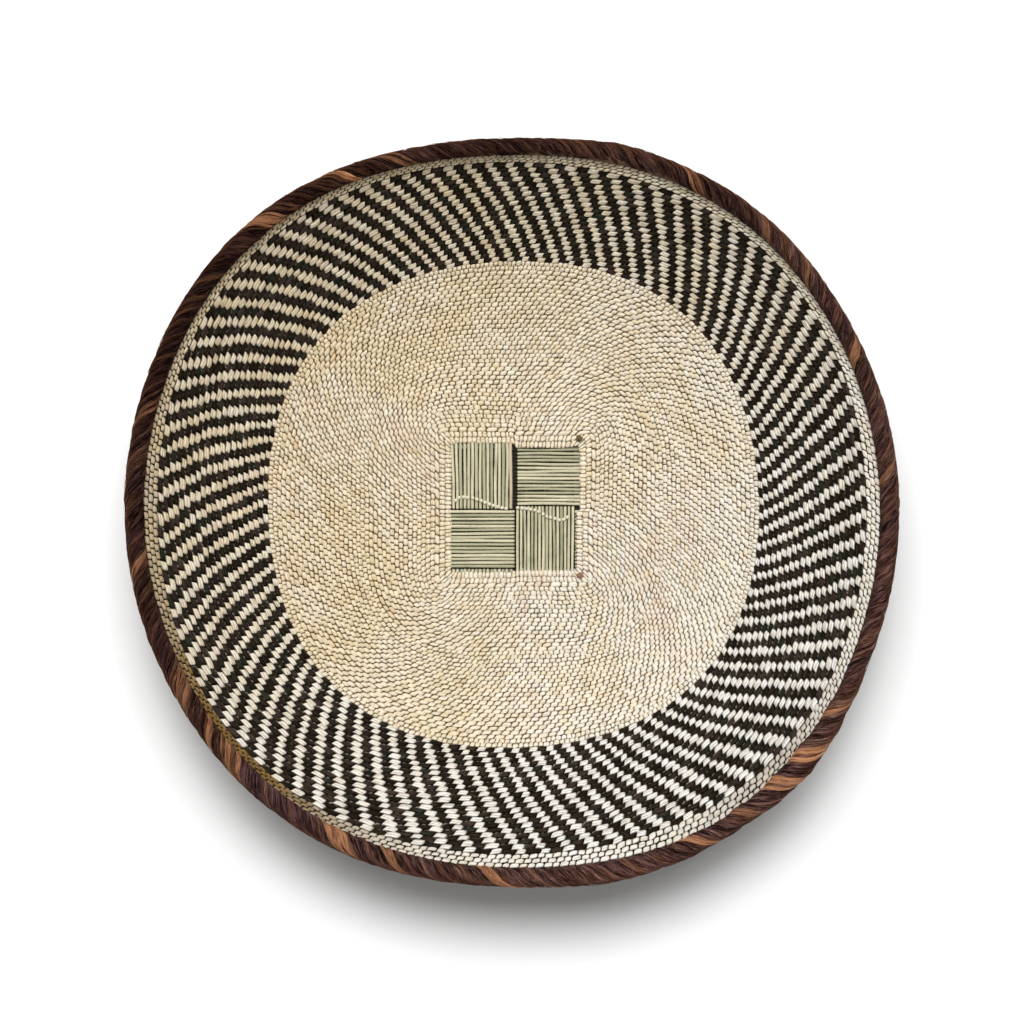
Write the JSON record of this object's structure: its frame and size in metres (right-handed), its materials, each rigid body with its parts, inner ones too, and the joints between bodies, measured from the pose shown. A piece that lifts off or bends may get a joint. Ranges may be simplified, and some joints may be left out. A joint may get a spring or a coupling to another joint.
{
  "type": "woven wall basket",
  "caption": "Shallow round basket of twined palm leaf with an open square of plaited ribs, a two-tone striped band and a bark-bound rim.",
  "frame": {"origin": "on the underside of the flat base, in the middle of the basket's outline", "axes": "+Z out of the mouth, +Y towards the side that hangs uppermost on a wall, +X to the right as the mouth is looked into"},
  "size_m": [0.4518, 0.4372, 0.0879],
  "materials": {
    "rib": "split palm rib, sage green, satin",
    "palm": "undyed palm leaf, straw, matt",
    "dyed_palm": "palm leaf dyed dark brown, matt",
    "withy": "peeled withy",
    "bark": "dark red-brown bark strip, satin, with orange patches",
    "thread": "pale twisted leaf thread",
    "knot": "brown knotted leaf"
  },
  "bodies": {
    "root": {"rib_bundle_left": "rib", "rib_bundle_right": "rib", "rib_bundle_upper": "rib", "rib_bundle_lower": "rib", "corner_ribs_upper_right": "rib", "corner_ribs_upper_left": "rib", "corner_ribs_lower_left": "rib", "corner_ribs_lower_right": "rib", "square_rows": "palm", "field_rows_1": "palm", "field_rows_2": "palm", "field_rows_3": "palm", "field_rows_4": "palm", "band_rows_1": "dyed_palm", "band_rows_2": "dyed_palm", "band_rows_3": "dyed_palm", "edge_rows": "palm", "hoop_inner": "withy", "hoop_outer": "withy", "bark_strip_01": "bark", "bark_strip_02": "bark", "bark_strip_03": "bark", "bark_strip_04": "bark", "bark_strip_05": "bark", "bark_strip_06": "bark", "bark_strip_07": "bark", "bark_strip_08": "bark", "bark_strip_09": "bark", "bark_strip_10": "bark", "bark_strip_11": "bark", "bark_strip_12": "bark", "bark_strip_13": "bark", "bark_strip_14": "bark", "bark_strip_15": "bark", "bark_strip_16": "bark", "bark_strip_17": "bark", "bark_strip_18": "bark", "thread_left": "thread", "thread_right": "thread", "knot_upper": "knot", "knot_lower": "knot"}
  },
  "joints": []
}
